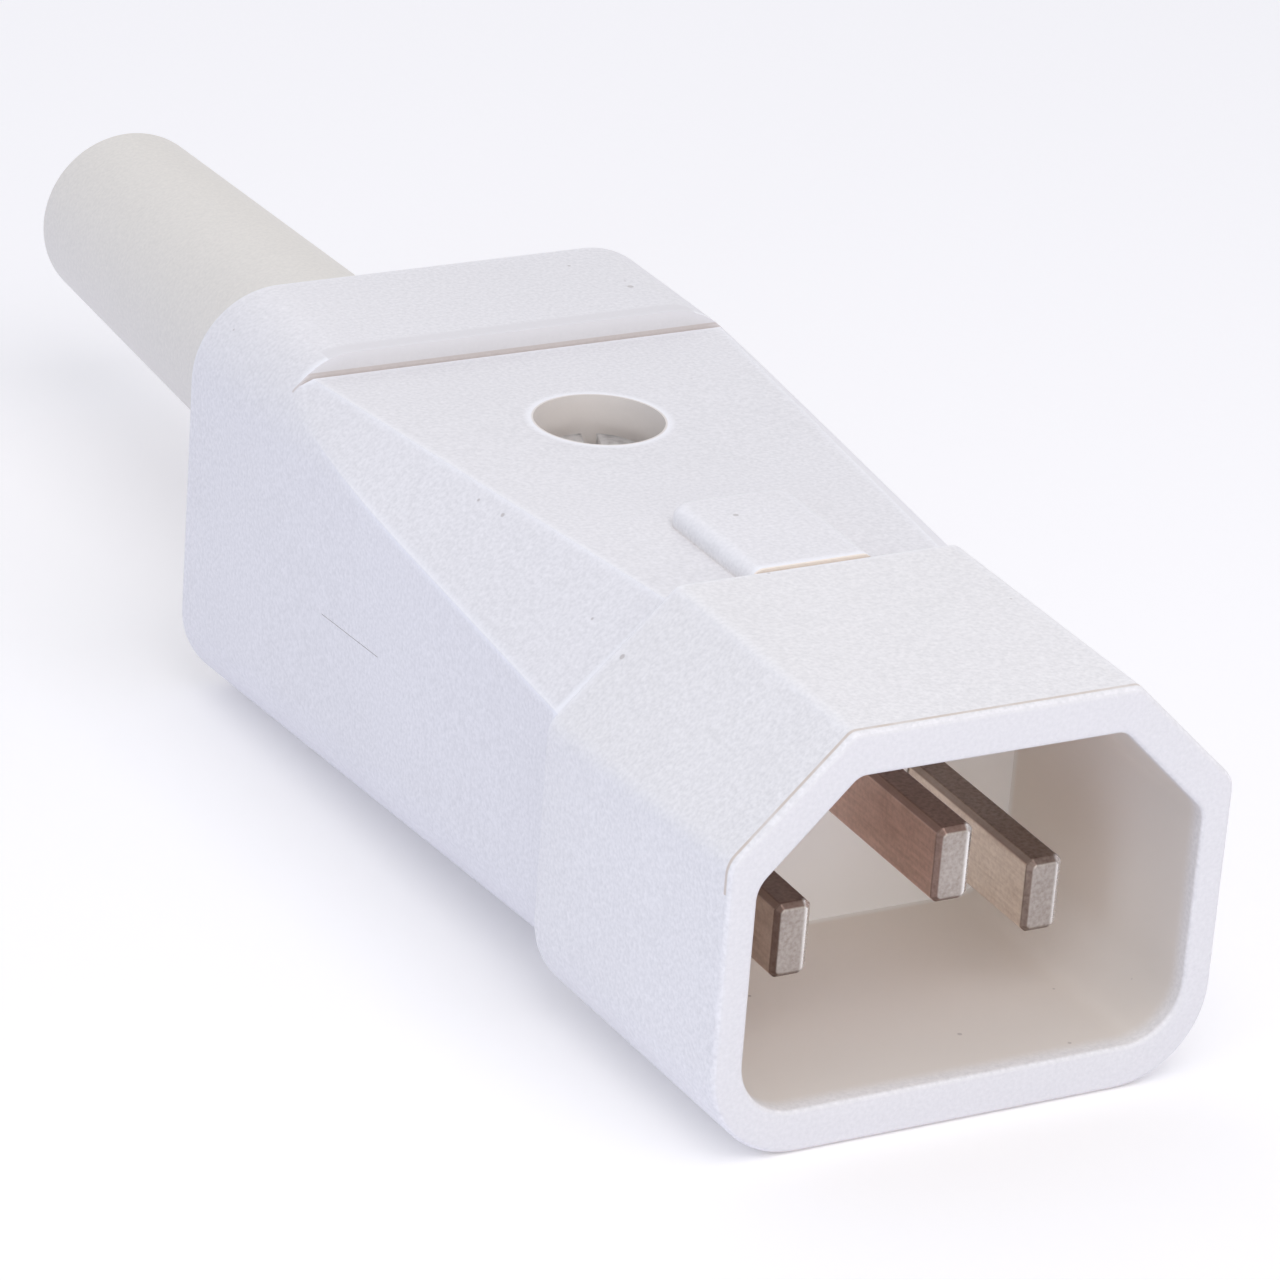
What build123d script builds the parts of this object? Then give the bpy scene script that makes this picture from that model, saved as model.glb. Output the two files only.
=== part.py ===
from build123d import *
import os

# Rewireable appliance plug with a shrouded three-blade front.
# Millimetres. The rim of the shroud lies in the plane y = 0, the plug runs back along +Y,
# +X is to the right seen from the front, and +Z is up, on the side of the bevelled corners.

os.makedirs("parts", exist_ok=True)

# How far a form is sunk into a wall, or a cut runs past a surface
overrun = 1.0

# Cavity of the shroud
cavity_width = 24.4
cavity_height = 17.2
cavity_depth = 17.0
cavity_bevel = 4.95
cavity_corner = 3.0
cavity_side_corner = 1.6
cavity_top_corner = 1.0

# Outside of the shroud, at its rim and where it meets the body
shroud_length = 17.85
shroud_side_wall = 1.6
shroud_roof = 2.35
shroud_top_margin = 0.55
shroud_bevel_drop = 5.85
shroud_corner = 5.0
shroud_side_corner = 1.4
shroud_top_corner = 0.7
shroud_draft = 0.6
rim_round = 0.35
shroud_rear_round = 0.5
mouth_round = 0.25

# Contact blades
blade_width = 2.0
blade_height = 4.0
blade_edge = 0.3
blade_tip_bevel = 0.3
blade_pitch = 14.0
blade_drop = 2.5
earth_rise = 1.6
line_tip_depth = 5.2
earth_tip_depth = 2.6
blade_slot_clearance = 0.1

# Outside of the body
body_length = 43.35
body_setback = 0.7
body_flare = 0.5
body_top = 10.45
body_front_bottom = -9.95
body_rear_bottom = -13.0
body_corner = 5.0
shoulder_front = 3.5
shoulder_rear = 5.0
rear_edge_round = 0.6
deck_front = 9.93
deck_rear = 9.52
rear_block_length = 10.6
step_lean = 0.35
groove_width = 0.6
groove_foot = 0.2
groove_depth = 0.5
bevel_front_run = 5.8
bevel_rear_run = 1.88
bevel_bottom = 4.82

# Walls of the two shells and the plane where they part
wall = 2.0
lip_thickness = 2.3
lip_height = 1.2
parting_front = 0.6
parting_rear = -2.1
seam_slit_length = 6.6
seam_slit_depth = 0.4
seam_slit_height = 0.1
seam_slit_place = 22.6

# Raised tab on the upper shell and the locating lug under it
tab_width = 6.9
tab_length = 8.9
tab_gap = 0.3
tab_top = 10.9
tab_corner = 1.2
tab_round = 0.7
lug_width = 4.0
lug_height = 1.1

# Screw that holds the shells together, a little behind the middle of the space from the retainer to the clamp
screw_shift = 0.475
screw_offset = -0.35
well_diameter = 6.9
well_depth = 3.8
well_wall = 1.7
screw_diameter = 3.0
screw_head_diameter = 5.5
screw_head_height = 1.9
screw_hole_clearance = 0.3
slot_width = 0.8
slot_depth = 0.9
nut_across = 5.5
nut_thickness = 2.4
nut_inset = 0.3
nut_clearance = 0.2
screw_head_round = 0.3
screw_tip_bevel = 0.3

# Contact carrier inside the body
fit = 0.2
seat_gap = 0.1
flange_thickness = 2.4
pocket_floor = 0.45
partition_thickness = 1.2
partition_height = 13.0
partition_foot = -7.9

# Terminals
terminal_width = 5.0
terminal_height = 5.2
terminal_length = 9.0
terminal_edge = 0.25
wire_hole_width = 3.0
wire_hole_height = 2.8
wire_hole_drop = 0.4
terminal_screw_diameter = 2.6
terminal_screw_head = 4.2
terminal_screw_head_height = 1.4
terminal_screw_lift = 0.8
terminal_slot_width = 0.6
terminal_slot_depth = 0.7
thread_clearance = 0.1
guard_thickness = 0.3
guard_side_gap = 0.2
guard_hook = 1.6

# Retainer behind the terminals
retainer_thickness = 1.5
retainer_window_width = 4.2
retainer_window_height = 5.8
retainer_rib_depth = 1.6
retainer_rib_thickness = 1.2
retainer_rib_height = 8.6

# Cord clamp
cord_axis = -1.87
clamp_setback = 5.15
clamp_width = 5.0
clamp_inset = 6.0
clamp_channel = 4.0
clamp_bar_thickness = 2.4
clamp_hump = 2.0
clamp_hump_half = 5.0
clamp_edge = 0.5
pillar_width = 6.4
pillar_depth = 6.0
pillar_top = -0.3
cradle_half = 4.6
cradle_top = -4.2
clamp_screw_diameter = 2.5
clamp_screw_head = 4.6
clamp_screw_head_height = 1.6
clamp_screw_length = 10.0
clamp_nut_across = 4.6
clamp_nut_thickness = 1.6
clamp_nut_height = -6.0

# Bend-relief sleeve
sleeve_root_radius = 6.68
sleeve_end_radius = 5.43
sleeve_bore = 8.0
sleeve_reach = 41.7
sleeve_end_round = 0.8
sleeve_flange_radius = 8.2
sleeve_flange_thickness = 2.0
sleeve_opening_clearance = 0.15
sleeve_seat_radius = 5.6
sleeve_seat_thickness = 1.5

# Places worked out from the sizes above
cavity_half = cavity_width / 2
cavity_top = cavity_height / 2
shroud_half = cavity_half + shroud_side_wall
shroud_top = cavity_top + shroud_roof
shroud_half_top = cavity_half - cavity_bevel + shroud_top_margin
body_front = shroud_length
body_rear = body_front + body_length
body_front_width = 2 * (shroud_half + shroud_draft - body_setback)
body_rear_width = body_front_width + 2 * body_flare
step_y = body_rear - rear_block_length
roof = deck_rear - wall
lip_rear = body_front + lip_thickness
flange_front = lip_rear + seat_gap
flange_rear = flange_front + flange_thickness
terminal_seat = flange_front + pocket_floor
terminal_rear = terminal_seat + terminal_length
retainer_front = terminal_rear + seat_gap
retainer_rear = retainer_front + retainer_thickness
rear_wall_front = body_rear - wall
sleeve_seat_rear = rear_wall_front - sleeve_flange_thickness - seat_gap
sleeve_seat_front = sleeve_seat_rear - sleeve_seat_thickness
clamp_y = sleeve_seat_front - clamp_setback
clamp_pitch = body_rear_width - 2 * clamp_inset
screw_y = (retainer_rear + clamp_y - clamp_width / 2) / 2 + screw_shift
sleeve_end = body_rear + sleeve_reach
contacts = {
    "line": (-blade_pitch / 2, -blade_drop, line_tip_depth),
    "neutral": (blade_pitch / 2, -blade_drop, line_tip_depth),
    "earth": (0, earth_rise, earth_tip_depth),
}


def across(y):
    """Return the sketch plane across the plug at y, with local x along +X and local y along +Z."""
    return Plane.XZ.offset(-y)


def along(y, front, rear):
    """Return what a size of the body is at y, between its values at the front and the rear."""
    return front + (rear - front) * (y - body_front) / body_length


def deck_at(y):
    """Return the height of the sloping deck at y."""
    return deck_front + (deck_rear - deck_front) * (y - body_front) / (step_y - body_front)


def bevel_plane(side, inset):
    """Return the plane of the long bevel on one side, moved inwards by inset, facing outwards."""
    step_half = along(step_y, body_front_width, body_rear_width) / 2
    edge = Vector(body_front_width / 2 - bevel_front_run, body_front, deck_front)
    down = Vector(body_front_width / 2, body_front, bevel_bottom) - edge
    back = Vector(step_half - bevel_rear_run, step_y, deck_rear) - edge
    normal = down.cross(back).normalized()
    point = edge - normal * inset
    return Plane(origin=(side * point.X, point.Y, point.Z), z_dir=(side * normal.X, normal.Y, normal.Z))


def body_form(start, end, inset, top):
    """Return the tapered form of the body from start to end, drawn in by inset, with its roof at top."""
    with BuildPart() as form:
        for y in (start, end):
            half = along(y, body_front_width, body_rear_width) / 2 - inset
            bottom = along(y, body_front_bottom, body_rear_bottom) + inset
            with BuildSketch(across(y)):
                with Locations((0, (top + bottom) / 2)):
                    Rectangle(2 * half, top - bottom)
                fillet(vertices().group_by(Axis.Y)[0], radius=max(body_corner - inset, fit))
                shoulder = along(y, shoulder_front, shoulder_rear)
                fillet(vertices().group_by(Axis.Y)[-1], radius=max(shoulder - inset, fit))
        loft(ruled=True)
        for side in (1, -1):
            split(bisect_by=bevel_plane(side, inset), keep=Keep.BOTTOM)
    return form.part


def d_outline(half_width, half_top, top, bevel_drop, corner, side_corner, top_corner):
    """Return a D outline with bevelled top corners: its bottom, side and top corners are rounded."""
    with BuildSketch() as outline:
        with BuildLine():
            Polyline(
                (half_top, top),
                (half_width, top - bevel_drop),
                (half_width, -top),
                (-half_width, -top),
                (-half_width, top - bevel_drop),
                (-half_top, top),
                close=True,
            )
        make_face()
        fillet(vertices().group_by(Axis.Y)[0], radius=corner)
        fillet(vertices().group_by(Axis.Y)[-2], radius=side_corner)
        fillet(vertices().group_by(Axis.Y)[-1], radius=top_corner)
    return outline.sketch


def slotted_screw(x, y, seat, shank, length, head, head_height, slot, depth):
    """Return an upright slotted screw whose head rests on the height seat."""
    with BuildPart() as screw:
        with BuildSketch(Plane.XY.offset(seat)):
            with Locations((x, y)):
                Circle(head / 2)
        extrude(amount=head_height)
        fillet(edges().group_by(Axis.Z)[-1], radius=screw_head_round)
        with BuildSketch(Plane.XY.offset(seat)):
            with Locations((x, y)):
                Circle(shank / 2)
        extrude(amount=-length)
        chamfer(edges().group_by(Axis.Z)[0], length=screw_tip_bevel)
        with BuildSketch(Plane.XY.offset(seat + head_height)):
            with Locations((x, y)):
                Rectangle(head + slot, slot)
        extrude(amount=-depth, mode=Mode.SUBTRACT)
    return screw.part


def save(part, name):
    """Label a finished piece and write it."""
    part.label = name
    export_step(part, f"parts/{name}.step")


# Contact carrier: the shroud, the wall behind it and the chambers of the terminals, one moulding
with BuildPart() as contact_carrier:
    for y, draft in ((0, 0), (shroud_length, shroud_draft)):
        half = shroud_half + draft
        bevel_drop = shroud_bevel_drop + draft
        with BuildSketch(across(y)):
            corners = (shroud_corner, shroud_side_corner, shroud_top_corner)
            add(d_outline(half, shroud_half_top, shroud_top, bevel_drop, *corners))
    loft(ruled=True)
    fillet(faces().sort_by(Axis.Y)[0].edges(), radius=rim_round)
    fillet(faces().sort_by(Axis.Y)[-1].edges(), radius=shroud_rear_round)
    add(body_form(body_front, flange_front, wall + lip_height + fit, roof - lip_height - fit))
    add(body_form(flange_front, flange_rear, wall + fit, roof - fit))
    with BuildSketch(across(0)):
        corners = (cavity_corner, cavity_side_corner, cavity_top_corner)
        add(d_outline(cavity_half, cavity_half - cavity_bevel, cavity_top, cavity_bevel, *corners))
    extrude(amount=-cavity_depth, mode=Mode.SUBTRACT)
    mouth = faces().sort_by(Axis.Y)[0].inner_wires()[0].edges()
    fillet(mouth, radius=mouth_round)
    with BuildSketch(across(flange_rear)):
        with Locations((0, partition_foot + partition_height / 2)):
            with GridLocations(blade_pitch / 2, 0, 2, 1):
                Rectangle(partition_thickness, partition_height)
    extrude(amount=flange_rear - terminal_rear)
    with BuildSketch(Plane.XY.offset(roof - fit)):
        with Locations((0, (flange_front + flange_rear) / 2)):
            Rectangle(lug_width, flange_thickness)
    extrude(amount=lug_height)
    for x, z, _ in contacts.values():
        with BuildSketch(across(cavity_depth)):
            with Locations((x, z)):
                Rectangle(blade_width + blade_slot_clearance, blade_height + blade_slot_clearance)
        extrude(amount=cavity_depth - flange_rear, mode=Mode.SUBTRACT)
        with BuildSketch(across(terminal_seat)):
            with Locations((x, z)):
                Rectangle(terminal_width + fit, terminal_height + fit)
        extrude(amount=terminal_seat - flange_rear, mode=Mode.SUBTRACT)
save(contact_carrier.part, "contact_carrier")

# Contacts: blade and screw terminal in one piece of brass
guard_top = wire_hole_height / 2 - wire_hole_drop
terminal_y = (flange_rear + terminal_rear) / 2
for name, (x, z, tip) in contacts.items():
    with BuildPart() as contact:
        with BuildSketch(across(tip)):
            with Locations((x, z)):
                Rectangle(blade_width, blade_height)
            chamfer(vertices(), length=blade_edge)
        extrude(amount=tip - terminal_seat)
        chamfer(faces().sort_by(Axis.Y)[0].edges(), length=blade_tip_bevel)
        with BuildSketch(across(terminal_seat)):
            with Locations((x, z)):
                Rectangle(terminal_width, terminal_height)
            chamfer(vertices(), length=terminal_edge)
        extrude(amount=-terminal_length)
        with BuildSketch(across(terminal_rear)):
            with Locations((x, z - wire_hole_drop)):
                Rectangle(wire_hole_width, wire_hole_height)
        extrude(amount=terminal_rear - flange_rear, mode=Mode.SUBTRACT)
        with BuildSketch(Plane.XY.offset(z + terminal_height / 2)):
            with Locations((x, terminal_y)):
                Circle(terminal_screw_diameter / 2)
        extrude(amount=-terminal_height / 2, mode=Mode.SUBTRACT)
    save(contact.part, f"{name}_contact")

    # Terminal screw, standing a little open, its tip on the wire guard
    terminal_head_seat = z + terminal_height / 2 + terminal_screw_lift
    terminal_screw = slotted_screw(
        x,
        terminal_y,
        terminal_head_seat,
        terminal_screw_diameter - 2 * thread_clearance,
        terminal_head_seat - z - guard_top,
        terminal_screw_head,
        terminal_screw_head_height,
        terminal_slot_width,
        terminal_slot_depth,
    )
    save(terminal_screw, f"{name}_terminal_screw")

    # Wire guard: a leaf under the screw with a hook over the rear end of the terminal
    with BuildPart() as wire_guard:
        with BuildSketch(Plane.YZ.offset(x)):
            with BuildLine():
                leaf = Polyline(
                    (flange_rear + guard_side_gap, z + guard_top - guard_thickness / 2),
                    (terminal_rear + guard_thickness / 2, z + guard_top - guard_thickness / 2),
                    (terminal_rear + guard_thickness / 2, z + guard_top + guard_hook),
                )
            trace(leaf, guard_thickness)
        extrude(amount=wire_hole_width / 2 - guard_side_gap, both=True)
    save(wire_guard.part, f"{name}_wire_guard")

# Retainer: a plate that holds the terminals in their pockets, with a window for each wire
with BuildPart() as contact_retainer:
    add(body_form(retainer_front, retainer_rear, wall + fit, roof - fit))
    for x, z, _ in contacts.values():
        with BuildSketch(across(retainer_front)):
            with Locations((x, z)):
                RectangleRounded(retainer_window_width, retainer_window_height, blade_edge)
        extrude(amount=retainer_front - retainer_rear, mode=Mode.SUBTRACT)
save(contact_retainer.part, "contact_retainer")

# Housing: both shells as one form, hollow, with ribs and the screw column, before it is parted
parting_plane = Plane(
    origin=(0, body_front, parting_front),
    x_dir=(1, 0, 0),
    z_dir=(0, parting_front - parting_rear, body_length),
)
column_radius = well_diameter / 2 + well_wall
head_seat = deck_at(screw_y) - well_depth
nut_floor = along(screw_y, body_front_bottom, body_rear_bottom) + nut_inset
with BuildPart() as housing:
    add(body_form(body_front, body_rear, 0, body_top))
    with BuildSketch(Plane.YZ):
        with BuildLine():
            Polyline(
                (body_front - overrun, deck_at(body_front - overrun)),
                (step_y - groove_width, deck_at(step_y - groove_width)),
                (step_y - groove_foot, deck_rear - groove_depth),
                (step_y + step_lean, body_top + overrun),
                (body_front - overrun, body_top + overrun),
                close=True,
            )
        make_face()
        with BuildLine():
            underside = along(step_y, body_front_bottom, body_rear_bottom)
            Polyline(
                (step_y - groove_width, underside - groove_depth),
                (step_y, underside + groove_depth),
                (step_y + groove_width, underside - groove_depth),
                close=True,
            )
        make_face()
    extrude(amount=body_rear_width, both=True, mode=Mode.SUBTRACT)
    fillet(faces().sort_by(Axis.Y)[-1].edges(), radius=rear_edge_round)
    add(body_form(body_front, lip_rear, wall + lip_height, roof - lip_height), mode=Mode.SUBTRACT)
    add(body_form(lip_rear, rear_wall_front, wall, roof), mode=Mode.SUBTRACT)
    add(body_form(sleeve_seat_front, sleeve_seat_rear, wall - overrun, roof + overrun))
    with BuildSketch(across(sleeve_seat_front)):
        with Locations((0, cord_axis)):
            Circle(sleeve_seat_radius)
    extrude(amount=-sleeve_seat_thickness, mode=Mode.SUBTRACT)
    with BuildSketch(across(rear_wall_front)):
        with Locations((0, cord_axis)):
            Circle(sleeve_root_radius + sleeve_opening_clearance)
    extrude(amount=-wall, mode=Mode.SUBTRACT)
    with BuildSketch(Plane.XY.offset(nut_floor)):
        with Locations((screw_offset, screw_y)):
            Circle(column_radius)
    extrude(amount=roof + overrun - nut_floor)
    with BuildSketch(across(retainer_rear + seat_gap)):
        with Locations((0, parting_front)):
            Rectangle(body_front_width - 2 * (wall - overrun), retainer_rib_height)
            Rectangle(body_front_width - 2 * (wall + retainer_rib_depth), retainer_rib_height, mode=Mode.SUBTRACT)
    extrude(amount=-retainer_rib_thickness)
    with BuildSketch(parting_plane):
        with GridLocations(along(body_front + seam_slit_place, body_front_width, body_rear_width), 0, 2, 1):
            with Locations((0, seam_slit_place)):
                Rectangle(2 * seam_slit_depth, seam_slit_length)
    extrude(amount=seam_slit_height / 2, both=True, mode=Mode.SUBTRACT)

# Upper shell: tab, notch for the locating lug, screw well and screw hole
with BuildPart() as upper_shell:
    add(housing.part)
    split(bisect_by=parting_plane, keep=Keep.TOP)
    with BuildSketch(Plane.XY.offset(roof + overrun)):
        with Locations((0, body_front + tab_gap + tab_length / 2)):
            Rectangle(tab_width, tab_length)
        fillet(vertices().group_by(Axis.Y)[-1], radius=tab_corner)
    extrude(amount=tab_top - roof - overrun)
    tab_rim = faces().filter_by(Plane.XY).sort_by(Axis.Z)[-1].edges()
    fillet(tab_rim.sort_by(Axis.Y)[1:], radius=tab_round)
    with BuildSketch(Plane.XY.offset(roof - fit)):
        with Locations((0, (flange_front + flange_rear) / 2)):
            Rectangle(lug_width + 2 * fit, flange_thickness + 2 * fit)
    extrude(amount=lug_height + 2 * fit, mode=Mode.SUBTRACT)
    with BuildSketch(Plane.XY.offset(head_seat)):
        with Locations((screw_offset, screw_y)):
            Circle(well_diameter / 2)
    extrude(amount=well_depth + overrun, mode=Mode.SUBTRACT)
    with BuildSketch(Plane.XY.offset(head_seat)):
        with Locations((screw_offset, screw_y)):
            Circle((screw_diameter + screw_hole_clearance) / 2)
    extrude(amount=-body_top, mode=Mode.SUBTRACT)
save(upper_shell.part, "upper_shell")

# Lower shell: screw hole, nut pocket, clamp pillars with nut slots and the cradle of the cord
cradle_floor = along(clamp_y, body_front_bottom, body_rear_bottom) + wall - overrun
pillar_front = clamp_y - pillar_depth / 2
with BuildPart() as lower_shell:
    add(housing.part)
    split(bisect_by=parting_plane, keep=Keep.BOTTOM)
    with BuildSketch(Plane.XY.offset(nut_floor + nut_thickness)):
        with Locations((screw_offset, screw_y)):
            Circle((screw_diameter + screw_hole_clearance) / 2)
    extrude(amount=body_top, mode=Mode.SUBTRACT)
    with BuildSketch(Plane.XY.offset(nut_floor + nut_thickness)):
        with Locations((screw_offset, screw_y)):
            RegularPolygon((nut_across + nut_clearance) / 2, 6, major_radius=False)
    extrude(amount=-nut_thickness - overrun, mode=Mode.SUBTRACT)
    with BuildSketch(Plane.XY.offset(cradle_floor)):
        with Locations((0, clamp_y)):
            with GridLocations(clamp_pitch, 0, 2, 1):
                Rectangle(pillar_width, pillar_depth)
    extrude(amount=pillar_top - cradle_floor)
    with BuildSketch(Plane.XY.offset(cradle_floor)):
        with Locations((0, clamp_y)):
            Rectangle(2 * cradle_half, clamp_width)
    extrude(amount=cradle_top - cradle_floor)
    with BuildSketch(across(pillar_front)):
        with Locations((0, cord_axis)):
            Circle(clamp_channel)
    extrude(amount=-pillar_depth, mode=Mode.SUBTRACT)
    with BuildSketch(Plane.XY.offset(pillar_top)):
        with Locations((0, clamp_y)):
            with GridLocations(clamp_pitch, 0, 2, 1):
                Circle(clamp_screw_diameter / 2 + thread_clearance)
    extrude(amount=-clamp_screw_length, mode=Mode.SUBTRACT)
    with BuildSketch(across(pillar_front)):
        with Locations((0, clamp_nut_height)):
            with GridLocations(clamp_pitch, 0, 2, 1):
                Rectangle(clamp_nut_across + fit, clamp_nut_thickness + fit / 2)
    extrude(amount=-(pillar_depth + clamp_nut_across + fit) / 2, mode=Mode.SUBTRACT)
save(lower_shell.part, "lower_shell")

# Housing screw and its nut
housing_screw = slotted_screw(
    screw_offset,
    screw_y,
    head_seat,
    screw_diameter - 2 * thread_clearance,
    head_seat - nut_floor,
    screw_head_diameter,
    screw_head_height,
    slot_width,
    slot_depth,
)
save(housing_screw, "housing_screw")

with BuildPart() as housing_nut:
    with BuildSketch(Plane.XY.offset(nut_floor)):
        with Locations((screw_offset, screw_y)):
            RegularPolygon(nut_across / 2, 6, major_radius=False)
            Circle(screw_diameter / 2, mode=Mode.SUBTRACT)
    extrude(amount=nut_thickness)
save(housing_nut.part, "housing_nut")

# Cord clamp: a humped bar over the channel of the cord, two screws and two square nuts
with BuildPart() as cord_clamp_bar:
    with BuildSketch(across(clamp_y - clamp_width / 2)):
        with BuildLine():
            bar_half = clamp_pitch / 2 + clamp_screw_head / 2 + clamp_edge
            bar_top = pillar_top + clamp_bar_thickness
            Polyline(
                (-bar_half, pillar_top),
                (-bar_half, bar_top),
                (-clamp_hump_half, bar_top),
                (-clamp_hump_half + clamp_hump, bar_top + clamp_hump),
                (clamp_hump_half - clamp_hump, bar_top + clamp_hump),
                (clamp_hump_half, bar_top),
                (bar_half, bar_top),
                (bar_half, pillar_top),
                close=True,
            )
        make_face()
        with Locations((0, cord_axis)):
            Circle(clamp_channel, mode=Mode.SUBTRACT)
    extrude(amount=-clamp_width)
    fillet(edges().filter_by(Axis.Z).group_by(Axis.X)[0], radius=clamp_edge)
    fillet(edges().filter_by(Axis.Z).group_by(Axis.X)[-1], radius=clamp_edge)
    with BuildSketch(Plane.XY.offset(bar_top)):
        with Locations((0, clamp_y)):
            with GridLocations(clamp_pitch, 0, 2, 1):
                Circle(clamp_screw_diameter / 2 + thread_clearance)
    extrude(amount=-clamp_bar_thickness, mode=Mode.SUBTRACT)
save(cord_clamp_bar.part, "cord_clamp_bar")

for name, x in (("left", -clamp_pitch / 2), ("right", clamp_pitch / 2)):
    clamp_screw = slotted_screw(
        x,
        clamp_y,
        bar_top,
        clamp_screw_diameter,
        clamp_screw_length,
        clamp_screw_head,
        clamp_screw_head_height,
        terminal_slot_width,
        terminal_slot_depth,
    )
    save(clamp_screw, f"cord_clamp_screw_{name}")

    with BuildPart() as clamp_nut:
        with BuildSketch(Plane.XY.offset(clamp_nut_height - clamp_nut_thickness / 2)):
            with Locations((x, clamp_y)):
                Rectangle(clamp_nut_across, clamp_nut_across)
                Circle(clamp_screw_diameter / 2 + thread_clearance, mode=Mode.SUBTRACT)
        extrude(amount=clamp_nut_thickness)
    save(clamp_nut.part, f"cord_clamp_nut_{name}")

# Bend-relief sleeve: a soft tapered tube with a flange trapped behind the rear wall
with BuildPart() as bend_relief_sleeve:
    with BuildSketch(Plane.YZ):
        with BuildLine():
            Polyline(
                (rear_wall_front - sleeve_flange_thickness, cord_axis + sleeve_bore / 2),
                (rear_wall_front - sleeve_flange_thickness, cord_axis + sleeve_flange_radius),
                (rear_wall_front, cord_axis + sleeve_flange_radius),
                (rear_wall_front, cord_axis + sleeve_root_radius),
                (body_rear, cord_axis + sleeve_root_radius),
                (sleeve_end, cord_axis + sleeve_end_radius),
                (sleeve_end, cord_axis + sleeve_bore / 2),
                close=True,
            )
        make_face()
    revolve(axis=Axis((0, 0, cord_axis), (0, 1, 0)))
    fillet(edges().group_by(Axis.Y)[-1].sort_by(SortBy.RADIUS)[-1], radius=sleeve_end_round)
save(bend_relief_sleeve.part, "bend_relief_sleeve")
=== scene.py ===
"""Looks of a rewireable appliance plug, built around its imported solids.

Sizes are metres in the frame of the solids: the rim of the shroud lies at y = 0, +Y runs back along
the plug to the end of the sleeve, +X is to the right seen from the front and +Z is up, on the
bevelled side.
"""
import logging
import math
from collections.abc import Callable
from dataclasses import dataclass
from enum import Enum
from typing import Any

import bmesh
import bpy
from mathutils import Matrix, Vector
from mathutils.bvhtree import BVHTree


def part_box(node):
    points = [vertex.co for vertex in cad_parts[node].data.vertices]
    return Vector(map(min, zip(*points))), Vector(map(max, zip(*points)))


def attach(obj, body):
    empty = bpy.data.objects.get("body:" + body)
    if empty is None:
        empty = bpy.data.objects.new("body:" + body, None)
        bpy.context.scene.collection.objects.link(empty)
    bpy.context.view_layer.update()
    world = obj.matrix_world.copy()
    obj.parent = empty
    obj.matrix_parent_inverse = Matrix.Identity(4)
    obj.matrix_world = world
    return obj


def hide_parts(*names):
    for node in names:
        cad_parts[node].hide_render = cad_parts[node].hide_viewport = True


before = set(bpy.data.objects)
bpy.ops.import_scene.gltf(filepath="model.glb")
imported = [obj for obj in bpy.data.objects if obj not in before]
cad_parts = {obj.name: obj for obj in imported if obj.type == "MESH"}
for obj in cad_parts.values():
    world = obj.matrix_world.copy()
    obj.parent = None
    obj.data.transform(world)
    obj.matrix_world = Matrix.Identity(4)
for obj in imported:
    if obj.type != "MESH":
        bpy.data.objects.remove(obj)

LOG = logging.getLogger("appliance_plug")
Socket = bpy.types.NodeSocket
Piece = bpy.types.Object
Pair = tuple[float, float]
Colour = tuple[float, float, float]
Place = tuple[float, float, float]
Term = Any
MM = 0.001
STEP_PLACE = 50.6 * MM
WHITE: Colour = (1.0, 1.0, 1.0)


class Slot(Enum):
    """Material slot names; each Moulding is given one, but nothing reads it."""

    HOUSING = "housing_plastic"
    SLEEVE = "sleeve_plastic"
    CONTACT = "contact_metal"
    STEEL = "screw_steel"


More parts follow.
